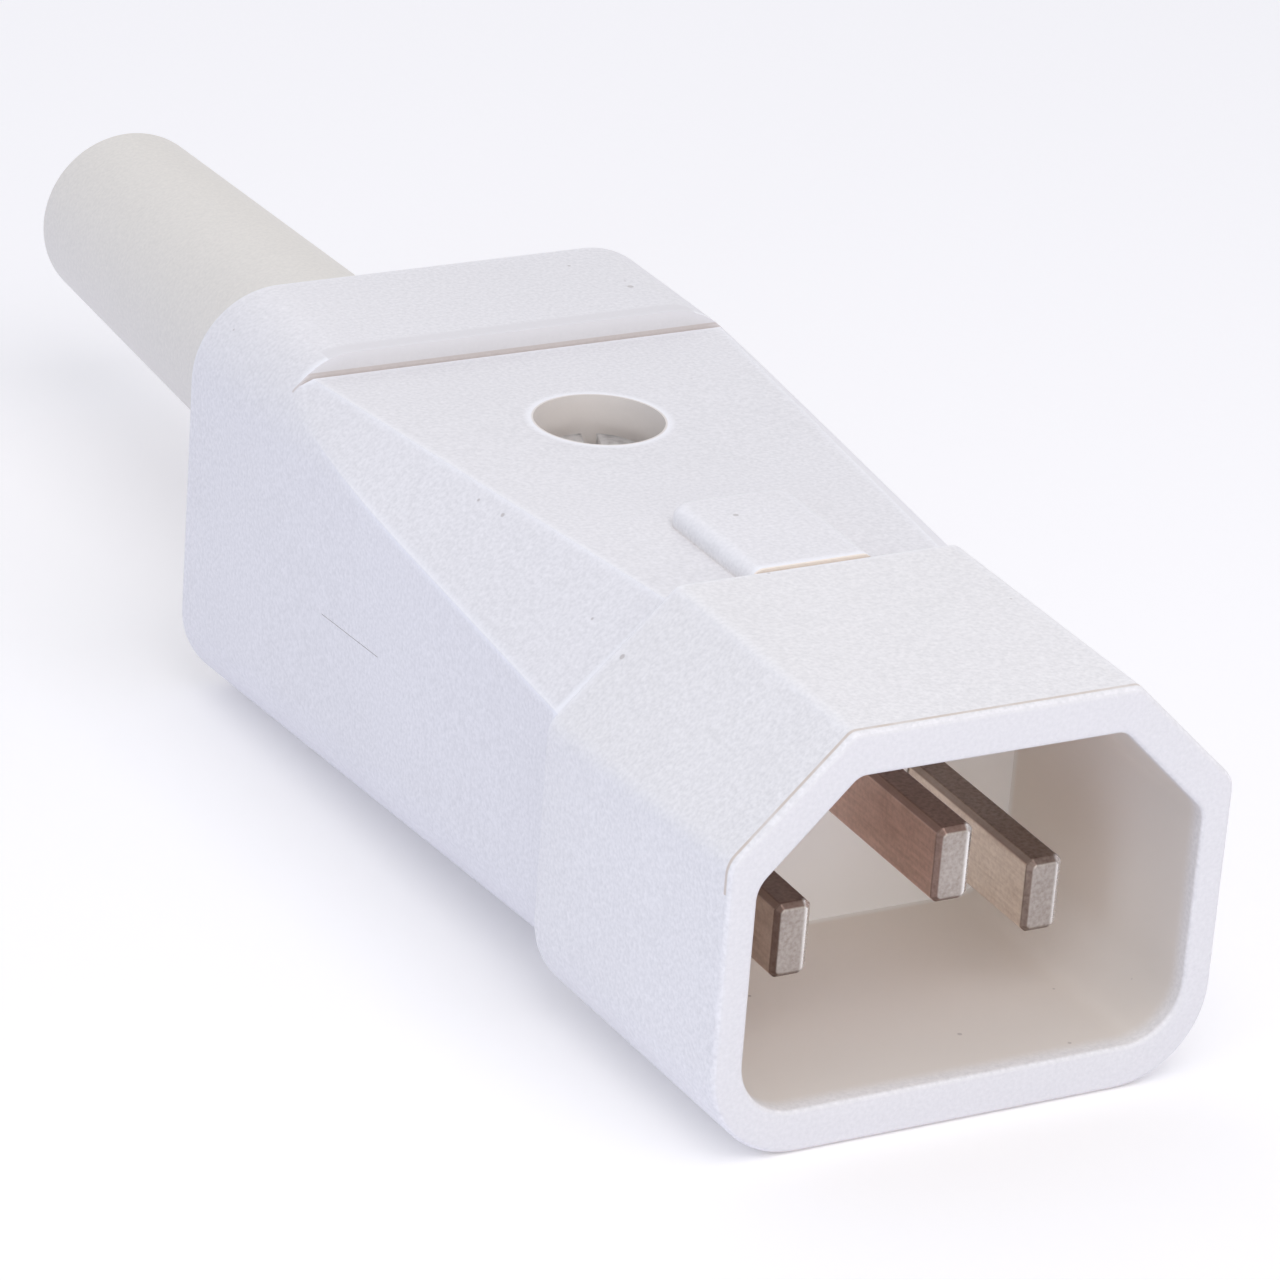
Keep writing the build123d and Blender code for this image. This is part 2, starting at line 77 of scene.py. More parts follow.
class Value:
    """A socket that carries a number, with Python's operators as Math nodes."""

    def __init__(self, graph: "Graph", socket: Socket) -> None:
        """Keep the socket and the tree it belongs to."""
        self.graph = graph
        self.socket = socket

    def maths(self, operation: str, *terms: Term) -> "Value":
        """Return the result of one Math node.

        Args:
            operation: The node's operation.
            terms: Numbers or values, in the order of the node's sockets.

        Returns:
            The node's result.
        """
        return self.graph.value("ShaderNodeMath", {"operation": operation}, dict(enumerate(terms)))

    def __add__(self, other: Term) -> "Value":
        """Return self + other."""
        return self.maths("ADD", self, other)

    def __radd__(self, other: Term) -> "Value":
        """Return other + self."""
        return self.maths("ADD", other, self)

    def __sub__(self, other: Term) -> "Value":
        """Return self - other."""
        return self.maths("SUBTRACT", self, other)

    def __rsub__(self, other: Term) -> "Value":
        """Return other - self."""
        return self.maths("SUBTRACT", other, self)

    def __mul__(self, other: Term) -> "Value":
        """Return self * other."""
        return self.maths("MULTIPLY", self, other)

    def __truediv__(self, other: Term) -> "Value":
        """Return self / other."""
        return self.maths("DIVIDE", self, other)

    def __neg__(self) -> "Value":
        """Return -self."""
        return self.maths("MULTIPLY", self, -1.0)

    def __abs__(self) -> "Value":
        """Return self without its sign."""
        return self.maths("ABSOLUTE", self)

    def __gt__(self, other: Term) -> "Value":
        """Return 1 where self is above other, and 0 elsewhere."""
        return self.maths("GREATER_THAN", self, other)

    def __lt__(self, other: Term) -> "Value":
        """Return 1 where self is below other, and 0 elsewhere."""
        return self.maths("LESS_THAN", self, other)

    def larger(self, other: Term) -> "Value":
        """Return the larger of two values."""
        return self.maths("MAXIMUM", self, other)

    def root(self) -> "Value":
        """Return the square root."""
        return self.maths("SQRT", self)

    def swing(self, reach: float) -> "Value":
        """Return noise as a swing round 0, reach wide."""
        return (self - 0.5) * reach

    def ramp(self, low: float, high: float) -> "Value":
        """Return self spread smoothly from 0 at low to 1 at high."""
        settings = {"interpolation_type": "SMOOTHSTEP", "clamp": True}
        inputs = {"Value": self, "From Min": low, "From Max": high}
        return self.graph.value("ShaderNodeMapRange", settings, inputs)

    def fade(self, low: float, high: float) -> "Value":
        """Return self spread smoothly from 1 at low to 0 at high."""
        return 1.0 - self.ramp(low, high)

    def around(self, middle: float, inner: float, outer: float) -> "Value":
        """Return 1 as far as inner from the middle, and less out to 0 at outer."""
        return abs(self - middle).fade(inner, outer)


class Graph:
    """A shader or geometry node tree that is being filled."""

    NOISE_GAIN = 0.55

    def __init__(self, tree: bpy.types.NodeTree) -> None:
        """Keep the tree."""
        self.tree = tree

    def node(
        self,
        kind: str,
        settings: dict[str, Any] | None = None,
        inputs: dict[str | int, Term] | None = None,
    ) -> bpy.types.Node:
        """Add a node.

        Args:
            kind: The node's type name.
            settings: Properties to set first.
            inputs: Constants or links, by the name or the number of each socket.

        Returns:
            The new node.
        """
        made = self.tree.nodes.new(kind)
        for name, setting in (settings or {}).items():
            setattr(made, name, setting)
        for key, term in (inputs or {}).items():
            sources = term if isinstance(term, list) else [term]
            for source in sources:
                self.feed(made.inputs[key], source)
        return made

    def feed(self, socket: Socket, term: Term) -> None:
        """Link a value or a socket to an input, or set the input to a constant."""
        if isinstance(term, Value):
            self.tree.links.new(term.socket, socket)
        elif isinstance(term, Socket):
            self.tree.links.new(term, socket)
        elif socket.type == "RGBA" and len(term) == 3:
            socket.default_value = (*term, 1.0)
        else:
            socket.default_value = term

    def value(
        self,
        kind: str,
        settings: dict[str, Any] | None = None,
        inputs: dict[str | int, Term] | None = None,
        output: str | int = 0,
    ) -> Value:
        """Add a node and return one of its outputs as a value.

        Args:
            kind: The node's type name.
            settings: Properties to set first.
            inputs: Constants or links, by the name or the number of each socket.
            output: The name or the number of the output.

        Returns:
            The wrapped output.
        """
        return Value(self, self.node(kind, settings, inputs).outputs[output])

    def mix(self, factor: Term, first: Term, second: Term) -> Socket:
        """Return the mix of two colours, the second where factor is 1."""
        settings = {"data_type": "RGBA", "clamp_factor": True}
        return self.node("ShaderNodeMix", settings, {0: factor, 6: first, 7: second}).outputs[2]

    def noise(self, vector: Term, scale: float, detail: float = 2.0) -> Value:
        """Return soft noise from 0 to 1 with features about 1 / scale metres across."""
        inputs = {"Vector": vector, "Scale": scale, "Detail": detail, "Roughness": self.NOISE_GAIN}
        return self.value("ShaderNodeTexNoise", None, inputs)

    def stretched(self, vector: Term, scale: Place) -> Socket:
        """Return coordinates multiplied along each axis."""
        inputs = {"Vector": vector, "Scale": scale}
        return self.node("ShaderNodeMapping", {"vector_type": "POINT"}, inputs).outputs[0]

    def object_place(self) -> Socket:
        """Return the Object coordinates."""
        return self.node("ShaderNodeTexCoord").outputs["Object"]

    def parts_of(self, vector: Term) -> tuple[Value, Value, Value]:
        """Return the x, y and z of a vector."""
        outputs = self.node("ShaderNodeSeparateXYZ", None, {0: vector}).outputs
        return Value(self, outputs[0]), Value(self, outputs[1]), Value(self, outputs[2])

    def bump(self, relief: Value, distance: float) -> Socket:
        """Return the normal of a surface whose relief of 0 to 1 is distance high."""
        inputs = {"Strength": 1.0, "Distance": distance, "Height": relief}
        return self.node("ShaderNodeBump", None, inputs).outputs[0]

    def openness(self, distance: float) -> Value:
        """Return 1 on open surface and less in recesses narrower than distance."""
        settings = {"samples": 4, "inside": False, "only_local": False}
        return self.value("ShaderNodeAmbientOcclusion", settings, {"Distance": distance}, "AO")

    def edges(self, distance: float) -> Value:
        """Return 0 on flat surface and up to 1 on outer edges, as far in from them as distance."""
        settings = {"samples": 5, "inside": True, "only_local": True}
        inputs = {"Distance": distance}
        return 1.0 - self.value("ShaderNodeAmbientOcclusion", settings, inputs, "AO")

    def facing(self) -> tuple[Value, Value, Value]:
        """Return the parts of the direction that the surface faces."""
        return self.parts_of(self.node("ShaderNodeNewGeometry").outputs["Normal"])


@dataclass(frozen=True)
class Finish:
    """A surface finish that becomes one material."""

    name: str

    def material(self) -> bpy.types.Material:
        """Return the material, made on first use."""
        found = bpy.data.materials.get(self.name)
        if found is not None:
            return found
        made = bpy.data.materials.new(self.name)
        made.use_nodes = True
        graph = Graph(made.node_tree)
        self.dress(graph, made.node_tree.nodes["Principled BSDF"])
        return made

    def dress(self, graph: Graph, surface: bpy.types.Node) -> None:
        """Feed the surface shader. Each finish has its own way."""
        raise NotImplementedError


@dataclass(frozen=True)
class MouldedPlastic(Finish):
    """Moulded white plastic with a fine grain and dust specks, with painted highlights on outer
    edges and painted shade in crevices.
    """

    colour: Colour = (0.81, 0.79, 0.78)
    crevice_shade_colour: Colour = (0.66, 0.54, 0.44)
    painted_highlight: Colour = (0.96, 0.95, 0.95)
    highlight_reach: float = 0.60 * MM
    highlight_edges: Pair = (0.03, 0.22)
    highlight_heights: Pair = (3.8 * MM, 4.6 * MM)
    highlight_places: Pair = (0.3 * MM, 0.9 * MM)
    mottle: float = 0.24
    blotch_scale: float = 70.0
    grain_scale: float = 4600.0
    ripple_scale: float = 900.0
    grain_height: float = 0.005 * MM
    roughness: float = 0.40
    crevice_shade_reach: float = 0.5 * MM
    crevice_shade_ramp: Pair = (0.38, 0.95)
    crevice_shade_strength: float = 0.55
    dust_share: float = 0.45
    dust_scale: float = 400.0
    dust_size: float = 0.02
    dust_spread: float = 0.07
    dust_strength: float = 0.55
    dust_colour: Colour = (0.40, 0.35, 0.32)

    def dress(self, graph: Graph, surface: bpy.types.Node) -> None:
        """Feed colour, roughness and bump from the grain, blotches and dust, and paint edge
        highlights and crevice shade.
        """
        place = graph.object_place()
        grain = graph.noise(place, self.grain_scale)
        blotch = graph.noise(place, self.blotch_scale, 3.0)
        lighter = tuple(channel * (1 + self.mottle / 2) for channel in self.colour)
        darker = tuple(channel * (1 - self.mottle / 2) for channel in self.colour)
        colour = graph.mix(grain.swing(1.5) + blotch.swing(0.4) + 0.5, darker, lighter)
        _, along, height = graph.parts_of(place)
        # Painted highlight: lightens outer edges above the bevel and behind the rim.
        highlight_area = height.ramp(*self.highlight_heights) * along.ramp(*self.highlight_places)
        on_edge = graph.edges(self.highlight_reach).ramp(*self.highlight_edges)
        colour = graph.mix(on_edge * (blotch * 0.5 + 0.65) * highlight_area, colour, self.painted_highlight)
        # Painted shade: darkens crevices and narrow recesses towards brown.
        shade = (1.0 - graph.openness(self.crevice_shade_reach)).ramp(*self.crevice_shade_ramp)
        colour = graph.mix(shade * self.crevice_shade_strength, colour, self.crevice_shade_colour)
        colour = self.marked(graph, place, colour)
        colour = graph.mix(self.dust(graph, place), colour, self.dust_colour)
        graph.feed(surface.inputs["Base Color"], colour)
        rougher = self.roughness + grain.swing(0.16) + blotch.swing(0.12)
        graph.feed(surface.inputs["Roughness"], rougher)
        relief = grain * 0.8 + graph.noise(place, self.ripple_scale, 1.0) * 0.6
        graph.feed(surface.inputs["Normal"], graph.bump(relief, self.grain_height))

    def marked(self, graph: Graph, place: Term, colour: Term) -> Term:
        """Return the colour with the marks of one moulding. Plain plastic has none."""
        return colour

    def dust(self, graph: Graph, place: Term) -> Value:
        """Return a mask of a few tiny dust specks."""
        inputs = {"Vector": place, "Scale": self.dust_scale}
        cells = graph.node("ShaderNodeTexVoronoi", {"feature": "F1"}, inputs).outputs
        chance, spread, _ = graph.parts_of(cells["Color"])
        size = self.dust_size + spread * self.dust_spread
        speck = (size - Value(graph, cells["Distance"])).ramp(0.0, self.dust_size)
        return speck * (chance > 1.0 - self.dust_share) * self.dust_strength


@dataclass(frozen=True)
class ShellPlastic(MouldedPlastic):
    """The shells' plastic, with painted shade in the screw well, in the gap before the tab and on
    the step.
    """

    deck_height: float = 9.60 * MM
    well_place: Pair = (-0.35 * MM, 40.1 * MM)
    well_radius: float = 3.5 * MM
    well_blend: float = 0.1 * MM
    well_shade_strength: float = 0.9
    well_shade_colour: Colour = (0.75, 0.685, 0.62)
    gap_rear: float = 18.06 * MM
    gap_shade_strength: float = 0.85
    gap_shade_colour: Colour = (0.96, 0.84, 0.70)
    step_front: float = STEP_PLACE - 0.45 * MM
    step_rear: float = STEP_PLACE + 1.6 * MM
    step_lowest: float = 9.50 * MM
    step_facing: Pair = (0.03, 0.15)
    step_shade_strength: float = 0.8
    step_shade_colour: Colour = (0.70, 0.675, 0.665)
    crest_place: float = STEP_PLACE + 0.6 * MM
    crest_reach: Pair = (0.35 * MM, 0.75 * MM)
    crest_height: float = 10.2 * MM
    crest_shade_strength: float = 0.9
    crest_shade_colour: Colour = (0.755, 0.73, 0.72)
    groove_place: float = STEP_PLACE - 0.12 * MM
    groove_reach: Pair = (0.03 * MM, 0.14 * MM)
    groove_depth: float = 0.9 * MM
    groove_shade_strength: float = 0.6
    groove_shade_colour: Colour = (0.56, 0.47, 0.41)

    def marked(self, graph: Graph, place: Term, colour: Term) -> Term:
        """Return the colour with painted shade in the well, in the tab's gap and on the step's
        wall, crest and groove.
        """
        across, along, height = graph.parts_of(place)
        aside, behind = across - self.well_place[0], along - self.well_place[1]
        from_axis = (aside * aside + behind * behind).root()
        # Painted shade: the screw well's wall darker and warmer.
        well_shade = from_axis.fade(self.well_radius, self.well_radius + self.well_blend)
        colour = graph.mix(well_shade * self.well_shade_strength, colour, self.well_shade_colour)
        # Painted shade: a warm tan tint in the gap before the tab.
        gap_shade = (along < self.gap_rear) * (height > self.deck_height)
        colour = graph.mix(gap_shade * self.gap_shade_strength, colour, self.gap_shade_colour)
        # Painted shade: the step's wall, facing forwards, darker.
        step_shade = (along > self.step_front) * (along < self.step_rear)
        step_shade = step_shade * (height > self.step_lowest)
        step_shade = step_shade * (-graph.facing()[1]).ramp(*self.step_facing)
        colour = graph.mix(step_shade * self.step_shade_strength, colour, self.step_shade_colour)
        # Painted shade: a darker line along the step's crest.
        crest_shade = along.around(self.crest_place, *self.crest_reach) * (height > self.crest_height)
        colour = graph.mix(crest_shade * self.crest_shade_strength, colour, self.crest_shade_colour)
        # Painted shade: a dark brown line in the groove at the step's foot.
        groove_shade = along.around(self.groove_place, *self.groove_reach)
        groove_shade = groove_shade * (height < self.deck_height)
        groove_shade = groove_shade * (height > self.deck_height - self.groove_depth)
        return graph.mix(groove_shade * self.groove_shade_strength, colour, self.groove_shade_colour)


@dataclass(frozen=True)
class CarrierPlastic(MouldedPlastic):
    """The carrier's plastic, with painted warm light and shade in the cavity and a tan line round
    the rim's upper edge.
    """

    rim_depth: float = 0.05 * MM
    rim_strength: float = 0.5
    rim_colour: Colour = (0.77, 0.745, 0.71)
    cavity_half: float = 12.3 * MM
    cavity_top: float = 8.7 * MM
    cavity_corner: float = 17.4 * MM
    cavity_start: Pair = (0.3 * MM, 1.4 * MM)
    entry_places: Pair = (1 * MM, 9 * MM)
    floor_places: Pair = (16.5 * MM, 16.9 * MM)
    entry_shade: Colour = (0.77, 0.71, 0.635)
    cavity_bounce: Colour = (0.92, 0.85, 0.77)
    floor_light: Colour = (1.0, 0.975, 0.93)
    line_place: float = 0.36 * MM
    line_reach: Pair = (0.052 * MM, 0.13 * MM)
    line_gap_scale: float = 600.0
    line_gaps: Pair = (0.30, 0.62)
    line_faintest: float = 0.55
    outer_reach: float = 17.3 * MM
    outer_top: float = 9.7 * MM
    line_colour: Colour = (0.62, 0.52, 0.43)

    def marked(self, graph: Graph, place: Term, colour: Term) -> Term:
        """Return the colour with the cavity's painted light and shade, and the line, which is on
        the outside only.
        """
        across, along, height = graph.parts_of(place)
        colour = graph.mix((along < self.rim_depth) * self.rim_strength, colour, self.rim_colour)
        inside = (abs(across) < self.cavity_half) * (abs(height) < self.cavity_top)
        inside = inside * (abs(across) + height < self.cavity_corner)
        # Painted shade darkens the cavity's walls near the entry; painted light warms them further
        # in and brightens the back wall.
        wall_light_and_shade = graph.mix(along.ramp(*self.entry_places), self.entry_shade, self.cavity_bounce)
        cavity_light_and_shade = graph.mix(along.ramp(*self.floor_places), wall_light_and_shade, self.floor_light)
        colour = graph.mix(inside * along.ramp(*self.cavity_start), colour, cavity_light_and_shade)
        beyond = (abs(across) + height - self.outer_reach).larger(height - self.outer_top)
        outside = beyond > 0.0
        near = along.around(self.line_place, *self.line_reach)
        broken = graph.noise(place, self.line_gap_scale).ramp(*self.line_gaps)
        broken = broken * 0.30 + self.line_faintest
        return graph.mix(outside * near * broken, colour, self.line_colour)


@dataclass(frozen=True)
class PlatedContact(Finish):
    """Plated brass, tarnished brown, with painted shade on its tops and round its tip, and a
    painted highlight on one bevel of its tip.
    """

    middle: float = 0.0
    tip: float = 5.2 * MM
    dull: Colour = (0.56, 0.45, 0.39)
    fresh: Colour = (0.82, 0.71, 0.63)
    cut: Colour = (0.31, 0.26, 0.23)
    scraped: Colour = (0.50, 0.45, 0.42)
    painted_shade: Colour = (0.13, 0.08, 0.065)
    painted_highlight: Colour = (0.93, 0.91, 0.89)
    face_end: Pair = (0.02 * MM, 0.08 * MM)
    collar_end: Pair = (0.28 * MM, 0.36 * MM)
    bevel_end: Pair = (0.25 * MM, 0.45 * MM)
    highlight_side: Pair = (0.45 * MM, 0.68 * MM)
    upward: Pair = (0.3, 0.9)
    streak_scale: Place = (5000.0, 400.0, 5000.0)
    pit_scale: float = 4200.0
    cloud_scale: float = 420.0
    relief_height: float = 0.006 * MM
    roughness: float = 0.36
    metallic: float = 0.9

    def dress(self, graph: Graph, surface: bpy.types.Node) -> None:
        """Feed colour, roughness and bump from drawing streaks and pits, with painted shade and a
        painted highlight.
        """
        place = graph.object_place()
        across, along, _ = graph.parts_of(place)
        streak = graph.noise(graph.stretched(place, self.streak_scale), 1.0)
        pits = graph.noise(place, self.pit_scale, 3.0)
        cloud = graph.noise(place, self.cloud_scale)
        tone = (streak.swing(0.8) + pits.swing(0.9) + cloud.swing(0.6) + 0.5).ramp(0.0, 1.0)
        colour = graph.mix(tone, self.dull, self.fresh)
        # Painted shade: tops and the tip's bevels darkened towards near black-brown.
        shaded = graph.facing()[2].ramp(*self.upward).larger(self._near_tip(along, self.collar_end))
        colour = graph.mix(shaded * (0.65 + pits * 0.4), colour, self.painted_shade)
        face = self._near_tip(along, self.face_end)
        colour = graph.mix(face, colour, graph.mix(tone, self.cut, self.scraped))
        # Painted highlight: the tip's bevel on the right side is lightened and a little glossier.
        beside = (across - self.middle).ramp(*self.highlight_side)
        highlight = self._near_tip(along, self.bevel_end) * beside * (cloud * 0.5 + 0.6)
        graph.feed(surface.inputs["Base Color"], graph.mix(highlight, colour, self.painted_highlight))
        rougher = self.roughness + pits.swing(0.3) - highlight * 0.1
        graph.feed(surface.inputs["Roughness"], rougher)
        relief = streak * 0.5 + pits * 0.7
        graph.feed(surface.inputs["Normal"], graph.bump(relief, self.relief_height))
        surface.inputs["Metallic"].default_value = self.metallic

    def _near_tip(self, along: Value, end: Pair) -> Value:
        """Return 1 at the tip, and less from the first to the second distance behind it."""
        return along.fade(self.tip + end[0], self.tip + end[1])


@dataclass(frozen=True)
class ZincSteel(Finish):
    """Zinc-plated steel with turning marks and small stains."""

    colour: Colour = (0.93, 0.96, 1.0)
    stain: Colour = (0.55, 0.53, 0.54)
    stained: Pair = (0.42, 0.72)
    mark_scale: Place = (900.0, 6500.0, 900.0)
    stain_scale: float = 1400.0
    mark_height: float = 0.004 * MM
    roughness: float = 0.22

    def dress(self, graph: Graph, surface: bpy.types.Node) -> None:
        """Feed colour, roughness and bump from fine marks and stains."""
        place = graph.object_place()
        marks = graph.noise(graph.stretched(place, self.mark_scale), 1.0)
        stains = graph.noise(place, self.stain_scale, 3.0)
        colour = graph.mix(stains.ramp(*self.stained), self.colour, self.stain)
        graph.feed(surface.inputs["Base Color"], colour)
        rougher = self.roughness + marks.swing(0.25) + stains.swing(0.2)
        graph.feed(surface.inputs["Roughness"], rougher)
        graph.feed(surface.inputs["Normal"], graph.bump(marks, self.mark_height))
        surface.inputs["Metallic"].default_value = 1.0


SHELL_PLASTIC = ShellPlastic("shell_plastic")
CARRIER_PLASTIC = CarrierPlastic("carrier_plastic", colour=(0.83, 0.808, 0.785))
SLEEVE_PLASTIC = MouldedPlastic(
    "soft_sleeve_plastic",
    colour=(0.80, 0.76, 0.68),
    mottle=0.14,
    grain_height=0.003 * MM,
    roughness=0.5,
    dust_share=0.04,
)
INNER_PLASTIC = MouldedPlastic("inner_plastic", dust_share=0.02)
CONTACT_PLATING = {
    "line": PlatedContact(
        "line_contact_plating", middle=-7 * MM, dull=(0.44, 0.33, 0.28), fresh=(0.66, 0.53, 0.46)
    ),
    "neutral": PlatedContact(
        "neutral_contact_plating", middle=7 * MM, dull=(0.68, 0.57, 0.49), fresh=(0.96, 0.86, 0.76)
    ),
    "earth": PlatedContact(
        "earth_contact_plating", tip=2.6 * MM, dull=(0.56, 0.39, 0.33), fresh=(0.82, 0.60, 0.52)
    ),
}
SCREW_ZINC = ZincSteel("screw_zinc")
GUARD_STEEL = ZincSteel("guard_spring_steel", colour=(0.56, 0.53, 0.50), roughness=0.38)


def settle(piece: Piece) -> None:
    """Turn a piece's modifiers into plain mesh.

    Args:
        piece: An object with modifiers, which it loses.
    """
    bpy.context.view_layer.update()
    evaluated = piece.evaluated_get(bpy.context.evaluated_depsgraph_get())
    mesh = bpy.data.meshes.new_from_object(evaluated)
    piece.modifiers.clear()
    piece.data = mesh


def placed(name: str, mesh: bpy.types.Mesh) -> Piece:
    """Return a new object in the scene for a mesh."""
    made = bpy.data.objects.new(name, mesh)
    bpy.context.scene.collection.objects.link(made)
    return made


def handed_over(piece: Piece, node: str) -> Piece:
    """Let a piece stand for a node.

    Args:
        piece: The finished piece.
        node: The node it stands for.

    Returns:
        The piece.
    """
    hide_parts(node)
    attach(piece, "root")
    LOG.info("%s stands for %s: %d faces", piece.name, node, len(piece.data.polygons))
    return piece


Rounding = Callable[[bmesh.types.BMEdge, Vector], float]
Shaping = Callable[[Vector], Vector]


def evenly(width: float) -> Rounding:
    """Return a rounding that softens every outer edge alike."""
    return lambda edge, middle: width


@dataclass
class Moulding:
    """A finished copy of one solid: welded, with its outer edges softened."""

    node: str
    name: str
    finish: Finish
    slot: Slot
    widest: float = 0.60 * MM
    segments: int = 4
    sharp_degrees: float = 28.0
    flat_degrees: float = 0.4
    weld: float = 0.0005 * MM
    clearance: float = 0.02 * MM
    farthest: float = 60 * MM
    rounding: Rounding | None = None
    shaping: Shaping | None = None

    def build(self) -> Piece:
        """Return the piece that stands for the node."""
        piece = placed(self.name, self._welded_mesh())
        if self.rounding is not None:
            bevel = piece.modifiers.new("soft edges", "BEVEL")
            bevel.limit_method = "WEIGHT"
            bevel.width = self.widest
            bevel.segments = self.segments
            bevel.use_clamp_overlap = True
            bevel.harden_normals = True
            bevel.miter_outer = "MITER_ARC"
            settle(piece)
        piece.data.materials.clear()
        piece.data.materials.append(self.finish.material())
        return handed_over(piece, self.node)

    def _welded_mesh(self) -> bpy.types.Mesh:
        """Return a welded mesh of the node with its bevel weights."""
        form = bmesh.new()
        form.from_mesh(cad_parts[self.node].data)
        bmesh.ops.remove_doubles(form, verts=form.verts, dist=self.weld)
        if self.shaping is not None:
            for vert in form.verts:
                vert.co = self.shaping(vert.co)
        flat = math.radians(self.flat_degrees)
        bmesh.ops.dissolve_limit(form, angle_limit=flat, verts=form.verts, edges=form.edges)
        form.normal_update()
        tree = BVHTree.FromBMesh(form)
        weights = form.edges.layers.float.new("bevel_weight_edge")
        sharp = math.radians(self.sharp_degrees)
        for face in form.faces:
            face.smooth = True
        for edge in form.edges:
            if not edge.is_manifold or edge.calc_face_angle(0.0) < sharp:
                continue
            edge.smooth = False
            if self.rounding is not None and edge.is_convex and self._is_outer(edge, tree):
                width = self.rounding(edge, (edge.verts[0].co + edge.verts[1].co) / 2)
                edge[weights] = min(1.0, width / self.widest)
        mesh = bpy.data.meshes.new(self.name)
        form.to_mesh(mesh)
        form.free()
        return mesh

    def _is_outer(self, edge: bmesh.types.BMEdge, tree: BVHTree) -> bool:
        """Return whether the way straight out of an edge is free."""
        middle = (edge.verts[0].co + edge.verts[1].co) / 2
        outwards = (edge.link_faces[0].normal + edge.link_faces[1].normal).normalized()
        start = middle + outwards * self.clearance
        return tree.ray_cast(start, outwards, self.farthest)[0] is None


@dataclass
class Housing:
    """The two shells that close round the contact carrier."""

    body_front: float = 17.85 * MM
    body_length: float = 43.35 * MM
    parting_front: float = 0.6 * MM
    parting_rear: float = -2.1 * MM
    bevel_lowest: float = 3 * MM
    top_lowest: float = 9 * MM
    deck_lowest: float = 9.2 * MM
    deck_edge: float = 0.34 * MM
    side_edge: float = 0.60 * MM
    blunt_degrees: float = 62.0
    lengthwise: float = 0.9
    crosswise: float = 0.5
    step_reach: float = 1.2 * MM
    step_edge: float = 0.30 * MM
    small_edge: float = 0.10 * MM
    seam_reach: float = 0.15 * MM
    seam_edge: float = 0.02 * MM
    slit_half: float = 0.05 * MM
    slit_band: Pair = (0.8, 1.2)
    slit_share: float = 0.36
    tab_front: float = 18.15 * MM
    tab_reach: float = 0.03 * MM
    tab_half: float = 3.6 * MM
    tab_closing: float = 0.21 * MM

    def build(self) -> list[Piece]:
        """Return the two dressed shells."""
        return [
            Moulding(
                node, f"{node}_moulding", SHELL_PLASTIC, Slot.HOUSING,
                rounding=self.rounding, shaping=self.shaping,
            ).build()
            for node in ("upper_shell", "lower_shell")
        ]

    def seam_at(self, place: float) -> float:
        """Return the height of the seam at a place along the plug."""
        fall = (self.parting_rear - self.parting_front) / self.body_length
        return self.parting_front + fall * (place - self.body_front)

    def shaping(self, spot: Vector) -> Vector:
        """Return where a point goes, as the seam's slit and the tab's gap close a little.

        Args:
            spot: The point on the solid.

        Returns:
            The point on the finished piece.
        """
        offset = spot.z - self.seam_at(spot.y)
        nearest, farthest = (share * self.slit_half for share in self.slit_band)
        if nearest < abs(offset) < farthest:
            return Vector((spot.x, spot.y, spot.z - offset * (1 - self.slit_share)))
        at_tab = abs(spot.y - self.tab_front) < self.tab_reach and abs(spot.x) < self.tab_half
        if at_tab and spot.z > self.top_lowest:
            return spot - Vector((0.0, self.tab_closing, 0.0))
        return spot.copy()

    def rounding(self, edge: bmesh.types.BMEdge, middle: Vector) -> float:
        """Return how wide one sharp outer edge is softened.

        Args:
            edge: The edge.
            middle: Its middle.

        Returns:
            The width in metres.
        """
        if abs(middle.z - self.seam_at(middle.y)) < self.seam_reach:
            return self.seam_edge
        run = (edge.verts[1].co - edge.verts[0].co).normalized()
        blunt = edge.calc_face_angle(0.0) < math.radians(self.blunt_degrees)
        if abs(run.y) > self.lengthwise and blunt and middle.z > self.bevel_lowest:
            return self.deck_edge if middle.z > self.deck_lowest else self.side_edge
        near_step = abs(middle.y - STEP_PLACE) < self.step_reach
        if near_step and abs(run.x) > self.crosswise and middle.z > self.top_lowest:
            return self.step_edge
        return self.small_edge


@dataclass
class Contacts:
    """The carrier with its three contacts, their wire guards and the plate behind them."""

    blade_edge: float = 0.07 * MM

    def build(self) -> list[Piece]:
        """Return the dressed carrier and contacts."""
        made = [
            Moulding(
                "contact_carrier", "contact_carrier_moulding", CARRIER_PLASTIC, Slot.HOUSING,
                sharp_degrees=35.0,
            ).build()
        ]
        for name, plating in CONTACT_PLATING.items():
            made.append(
                Moulding(
                    f"{name}_contact", f"{name}_contact_plated", plating, Slot.CONTACT,
                    widest=self.blade_edge, segments=2, rounding=evenly(self.blade_edge),
                ).build()
            )
            dress_node(f"{name}_wire_guard", GUARD_STEEL)
        dress_node("contact_retainer", INNER_PLASTIC)
        return made


def dress_node(node: str, finish: Finish) -> None:
    """Give a node that keeps its own mesh a finish."""
    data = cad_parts[node].data
    data.materials.clear()
    data.materials.append(finish.material())
    LOG.info("%s keeps its mesh, in %s", node, finish.name)


